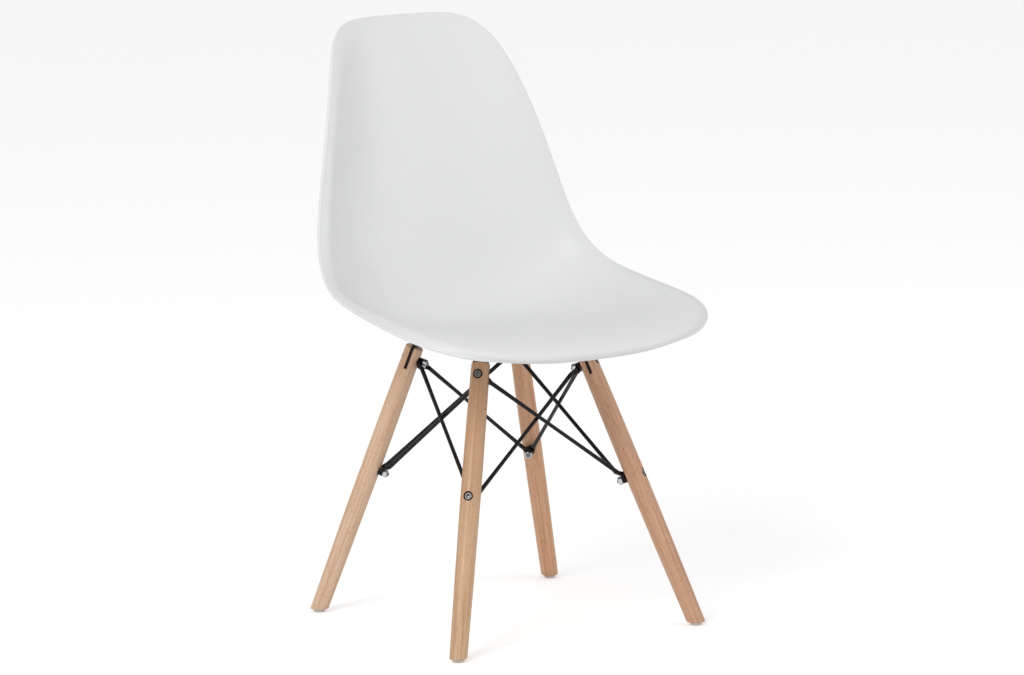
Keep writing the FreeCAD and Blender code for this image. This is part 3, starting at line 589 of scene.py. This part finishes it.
def rod_skin(upper, lower, layer, half_turn):
    """A rod from one leg's upper bolt to the next leg's lower bolt.

    Each row is the superellipse |a / wide|^n + |b / thick|^n = 1 in the plane of the row's side
    and thickness directions.
    """
    matrices = [leg_matrix(upper), leg_matrix(lower)]
    centres = [np.array(matrix @ Vector((-(seat + (layer + 0.5) * TAB_THICKNESS), 0, height)))
               for matrix, (height, seat) in zip(matrices, (HUBS["upper"], HUBS["lower"]))]
    line = unit(centres[1] - centres[0])
    up_leg = np.array(matrices[0].to_3x3() @ Vector((0, 0, 1)))
    bolt = np.array(matrices[0].to_3x3() @ Vector((1, 0, 0)))
    outwards = unit(np.cross(line, up_leg))
    bow = outwards * np.sign(np.dot(outwards, bolt)) * (ROD_BOW if layer == 0 else -ROD_BOW)
    first = rod_end(upper, "upper", layer, line, bow)
    second = rod_end(lower, "lower", layer, -line, bow)[::-1]
    second[:, 3:6] *= -1
    steps = np.linspace(0, 1, 26)[1:-1, None]
    rows = np.concatenate([first, first[-1] * (1 - steps) + second[0] * steps, second])
    path, side, thickness = rows[:, None, 0:3], rows[:, None, 3:6], rows[:, None, 6:9]
    wide, thick, power = rows[:, 9:10], rows[:, 10:11], rows[:, 11:12]
    angle = 2 * pi * np.arange(ROD_COLUMNS)[None, :] / ROD_COLUMNS
    a = wide * np.sign(np.cos(angle)) * np.abs(np.cos(angle)) ** (2 / power)
    b = thick * np.sign(np.sin(angle)) * np.abs(np.sin(angle)) ** (2 / power)
    grid = path + a[..., None] * side + b[..., None] * thickness
    if half_turn:
        grid = grid * np.array([-1, -1, 1])
    return wrapped_skin(grid)


RODS = [
    ("front_down_left", "front_right", "front_left", 0, False),
    ("rear_down_right", "front_right", "front_left", 0, True),
    ("front_down_right", "front_left", "front_right", 1, False),
    ("rear_down_left", "front_left", "front_right", 1, True),
    ("right_down_front", "rear_right", "front_right", 0, False),
    ("left_down_rear", "rear_right", "front_right", 0, True),
    ("right_down_rear", "front_right", "rear_right", 1, False),
    ("left_down_front", "front_right", "rear_right", 1, True),
]
coat = gloss_black()
for label, upper, lower, layer, half_turn in RODS:
    piece("rod_" + label, [rod_skin(upper, lower, layer, half_turn)], coat, "brace_" + label,
          50)


# Bolts and nuts: dark steel socket head cap screws with a knurled rim and a hexagon socket, sunk
# in the legs' counterbores, and bright zinc hexagon nuts chamfered on both faces.
HEAD_SEAT, HEAD_HEIGHT, HEAD_RADIUS, SHANK_RADIUS = 7.6, 4.6, 5.0, 3.0
SOCKET_RADIUS, SOCKET_DEPTH = 2.9, 2.8
NUT_RADIUS, NUT_HEIGHT, BOLT_TIP, PITCH = 5.77, 6.0, 2.0, 1.0
BOLT_COLUMNS, NUT_COLUMNS = 96, 120
KNURLS, KNURL_DEPTH = 32, 0.14
THREAD_LENGTH, THREAD_DEPTH, THREAD_STEP = 9.0, 0.42, 0.125
NUT_FACE_RADIUS, NUT_CONE_SLOPE = 4.75, 1.75


def hexagon_radius(angle, corner_radius, power):
    """A hexagon with softened corners: r = A / (sum of max(0, cos(a - a_k))^n)^(1/n) for the
    inscribed radius A and the six faces' directions a_k."""
    faces = np.arange(6) * pi / 3 + pi / 6
    facing = np.clip(np.cos(angle[:, None] - faces[None, :]), 0, None) ** power
    return corner_radius * cos(pi / 6) / np.sum(facing, axis=1) ** (1 / power)


def bolt_skin(corner, hub):
    """A cap screw about its own Z, head up: r(a, z) rows from the socket's floor, over the head
    and down the thread, whose radius falls by a triangle wave of (z / pitch - a / 2 pi)."""
    columns = BOLT_COLUMNS
    angle = 2 * pi * np.arange(columns) / columns
    height, seat = HUBS[hub]
    tip = -(seat + 2 * TAB_THICKNESS + NUT_HEIGHT + BOLT_TIP)
    top = HEAD_SEAT + HEAD_HEIGHT
    socket = hexagon_radius(angle, SOCKET_RADIUS, 60)
    rows = [(0 * socket, top - SOCKET_DEPTH - 0.5), (0.6 * socket, top - SOCKET_DEPTH - 0.1),
            (0.98 * socket, top - SOCKET_DEPTH), (socket, top - SOCKET_DEPTH + 0.1),
            (socket, top - 1.5), (socket, top - 0.45)]
    for radius, level in ((3.05, -0.12), (3.2, 0), (3.7, 0), (3.8, -0.04), (3.9, 0), (4.3, 0),
                          (4.6, -0.10), (4.8, -0.28), (4.9, -0.55)):
        rows.append((np.full(columns, radius), top + level))
    knurl = HEAD_RADIUS - KNURL_DEPTH * (0.5 + 0.5 * np.cos(KNURLS * angle))
    rows.append((knurl, top - 0.8))
    rows.append((knurl, top - 2.0))
    rows.append((knurl, HEAD_SEAT + 0.6))
    for radius, level in ((4.9, 0.4), (4.8, 0.1), (4.6, 0), (3.3, 0), (3.0, -0.3), (3.0, -4)):
        rows.append((np.full(columns, radius), HEAD_SEAT + level))
    thread_top = tip + THREAD_LENGTH
    for level in np.arange(thread_top, tip + 0.55, -THREAD_STEP):
        wave = np.abs(((level / PITCH - angle / (2 * pi)) % 1.0) * 2 - 1)
        depth = THREAD_DEPTH * min(1.0, thread_top - level)
        rows.append((SHANK_RADIUS - depth * wave, level))
    rows.append((np.full(columns, 2.5), tip + 0.45))
    rows.append((np.full(columns, 2.15), tip + 0.06))
    rows.append((np.full(columns, 1.9), tip))
    rows.append((np.zeros(columns), tip))
    grid = turned_grid(np.array([row[0] for row in rows]),
                       np.array([row[1] for row in rows])[:, None], columns)
    return wrapped_skin(placed(grid, bolt_matrix(corner, hub)))


def bolt_matrix(corner, hub):
    """Frame on a bolt's axis at the leg's middle, Z outwards."""
    return (leg_matrix(corner) @ Matrix.Translation((0, 0, HUBS[hub][0]))
            @ Matrix.Rotation(pi / 2, 4, "Y"))


def nut_skin(corner, hub):
    """A nut: its outside is the lesser of a hexagon and two 30 degree cones, and its bore is
    countersunk at both faces."""
    columns = NUT_COLUMNS
    angle = 2 * pi * np.arange(columns) / columns
    seat = HUBS[hub][1]
    face = -(seat + 2 * TAB_THICKNESS)
    hexagon = hexagon_radius(angle, NUT_RADIUS, 90)
    half = NUT_HEIGHT / 2
    rows = []
    outer = np.array([0, 0.06, 0.15, 0.27, 0.4, 0.6, 1.2, half])
    outer = np.concatenate([outer, NUT_HEIGHT - outer[-2::-1]])
    for depth in outer:
        from_face = min(depth, NUT_HEIGHT - depth)
        cone = NUT_FACE_RADIUS + NUT_CONE_SLOPE * from_face
        rows.append((np.minimum(hexagon, cone), face - depth))
    for radius, level in ((3.35, half), (2.98, half - 0.35), (2.98, -half + 0.35), (3.35, -half)):
        rows.append((np.full(columns, radius), face - half - level))
    grid = turned_grid(np.array([row[0] for row in rows]),
                       np.array([row[1] for row in rows])[:, None], columns)
    return wrapped_ring(placed(grid, bolt_matrix(corner, hub)))


def metal(name, deep, bright, rough_low, rough_high, edge_tone, grain_scale):
    """Bare or treated metal: mottled in tone and gloss, lighter where its edges are rubbed, and
    painted dark as shade in its recesses."""
    material, tree, shader = new_material(name, Metallic=1.0)
    where = object_place(tree)
    mottle = noise(tree, where, grain_scale, 4.0, 0.6)
    tone = mixed(tree, ranged(tree, mottle, 0.35, 0.65, 0.0, 1.0), deep + (1,), bright + (1,))
    edge, rounded = worn_edge(tree, 0.00025)
    tone = mixed(tree, ranged(tree, edge, 0.0, 1.0, 0.0, 0.6), tone, edge_tone + (1,))
    # Painted shade: sockets, thread roots and gaps are painted dark where ambient occlusion finds
    # them.
    open_air = add(tree, "AmbientOcclusion", {"Distance": 0.003}, samples=8).outputs["AO"]
    painted_recess_shade = ranged(tree, open_air, 0.25, 0.85, 0.85, 0.0)
    tone = mixed(tree, painted_recess_shade, tone, (0.012, 0.011, 0.011, 1))
    tree.links.new(tone, shader.inputs["Base Color"])
    spread = noise(tree, where, grain_scale * 2.5, 3.0, 0.6)
    gloss = ranged(tree, spread, 0.3, 0.7, rough_low, rough_high)
    tree.links.new(gloss, shader.inputs["Roughness"])
    fine = noise(tree, where, grain_scale * 9, 2.0, 0.5)
    tree.links.new(bumped(tree, fine, 0.00001, 0.5, rounded), shader.inputs["Normal"])
    return material


dark_steel = metal("dark_steel", (0.17, 0.17, 0.18), (0.30, 0.30, 0.30), 0.30, 0.46,
                   (0.62, 0.62, 0.61), 500)
zinc = metal("zinc_steel", (0.60, 0.64, 0.69), (0.74, 0.76, 0.78), 0.20, 0.36,
             (0.82, 0.83, 0.84), 350)
for corner in CORNERS:
    for hub in HUBS:
        piece("cap_screw_%s_%s" % (hub, corner), [bolt_skin(corner, hub)], dark_steel,
              "bolt_%s_%s" % (hub, corner), 40)
        piece("hex_nut_%s_%s" % (hub, corner), [nut_skin(corner, hub)], zinc,
              "nut_%s_%s" % (hub, corner), 24)


# Frame: four pressed brackets whose fins fill the legs' slots and whose level tabs carry the
# shell, on a rectangle of round rails. Satin black paint over steel.
def satin_black():
    """Satin black paint: fine texture, uneven gloss and rubbed edges."""
    material, tree, shader = new_material("satin_black", Specular_IOR_Level=0.2)
    where = object_place(tree)
    tone = mixed(tree, noise(tree, where, 90, 4.0, 0.6), (0.004, 0.004, 0.005, 1),
                 (0.012, 0.012, 0.013, 1))
    edge, rounded = worn_edge(tree, 0.0005)
    tone = mixed(tree, ranged(tree, edge, 0.0, 1.0, 0.0, 0.5), tone, (0.07, 0.07, 0.072, 1))
    tree.links.new(tone, shader.inputs["Base Color"])
    gloss = ranged(tree, noise(tree, where, 300, 3.0, 0.6), 0.3, 0.7, 0.34, 0.52)
    tree.links.new(gloss, shader.inputs["Roughness"])
    skin = noise(tree, where, 1600, 2.0, 0.5)
    tree.links.new(bumped(tree, skin, 0.00003, 0.5, rounded), shader.inputs["Normal"])
    return material


paint = satin_black()
for corner in CORNERS:
    smooth_copy("frame_bracket_" + corner, "bracket_plate_" + corner, paint)
for side in ("front", "rear", "right", "left"):
    smooth_copy("frame_rail_" + side, "rail_bar_" + side, paint)


# Shell fixings: dark steel screws up through the tabs, rubber spacers over them and knurled
# brass inserts in the bosses.
def rubber():
    """Dark rubber: matt, with a fine moulded grain and a grey bloom."""
    material, tree, shader = new_material("spacer_rubber", Specular_IOR_Level=0.3)
    where = object_place(tree)
    bloom = noise(tree, where, 240, 4.0, 0.6)
    tone = mixed(tree, bloom, (0.018, 0.018, 0.018, 1), (0.045, 0.045, 0.044, 1))
    tree.links.new(tone, shader.inputs["Base Color"])
    tree.links.new(ranged(tree, bloom, 0.3, 0.7, 0.68, 0.88), shader.inputs["Roughness"])
    grain = noise(tree, where, 2400, 2.0, 0.5)
    tree.links.new(bumped(tree, grain, 0.00005, 0.6), shader.inputs["Normal"])
    return material


brass = metal("insert_brass", (0.62, 0.44, 0.20), (0.78, 0.60, 0.30), 0.24, 0.42,
              (0.88, 0.72, 0.42), 400)
smooth_copy("shell_screws", "shell_screw_set", dark_steel)
smooth_copy("shell_spacers", "spacer_set", rubber())
smooth_copy("shell_inserts", "insert_set", brass)


# Feet: white nylon glides, rounded where they meet the floor and scuffed there, each held by a
# zinc plated nail whose head is sunk in the glide.
def nylon():
    """Nylon: milky white, waxy, with fine random scratches where it slides."""
    material, tree, shader = new_material("glide_nylon", Specular_IOR_Level=0.45,
                                          Subsurface_Weight=0.15, Subsurface_Scale=0.002)
    where = object_place(tree)
    height = add(tree, "SeparateXYZ", {"Vector": where}).outputs["Z"]
    sliding = ranged(tree, height, 0.0005, 0.0016, 1.0, 0.0)
    scratch = noise(tree, where, 900, 5.0, 0.7)
    dirt = add(tree, "Math", {0: sliding, 1: scratch}, operation="MULTIPLY").outputs["Value"]
    tone = mixed(tree, dirt, (0.74, 0.74, 0.71, 1), (0.45, 0.44, 0.41, 1))
    tree.links.new(tone, shader.inputs["Base Color"])
    tree.links.new(ranged(tree, scratch, 0.3, 0.7, 0.34, 0.52), shader.inputs["Roughness"])
    tree.links.new(bumped(tree, scratch, 0.00004, 0.4), shader.inputs["Normal"])
    return material


milky = nylon()
for corner in CORNERS:
    smooth_copy("glide_" + corner, "foot_glide_" + corner, milky)
smooth_copy("glide_nails", "nail_set", zinc)
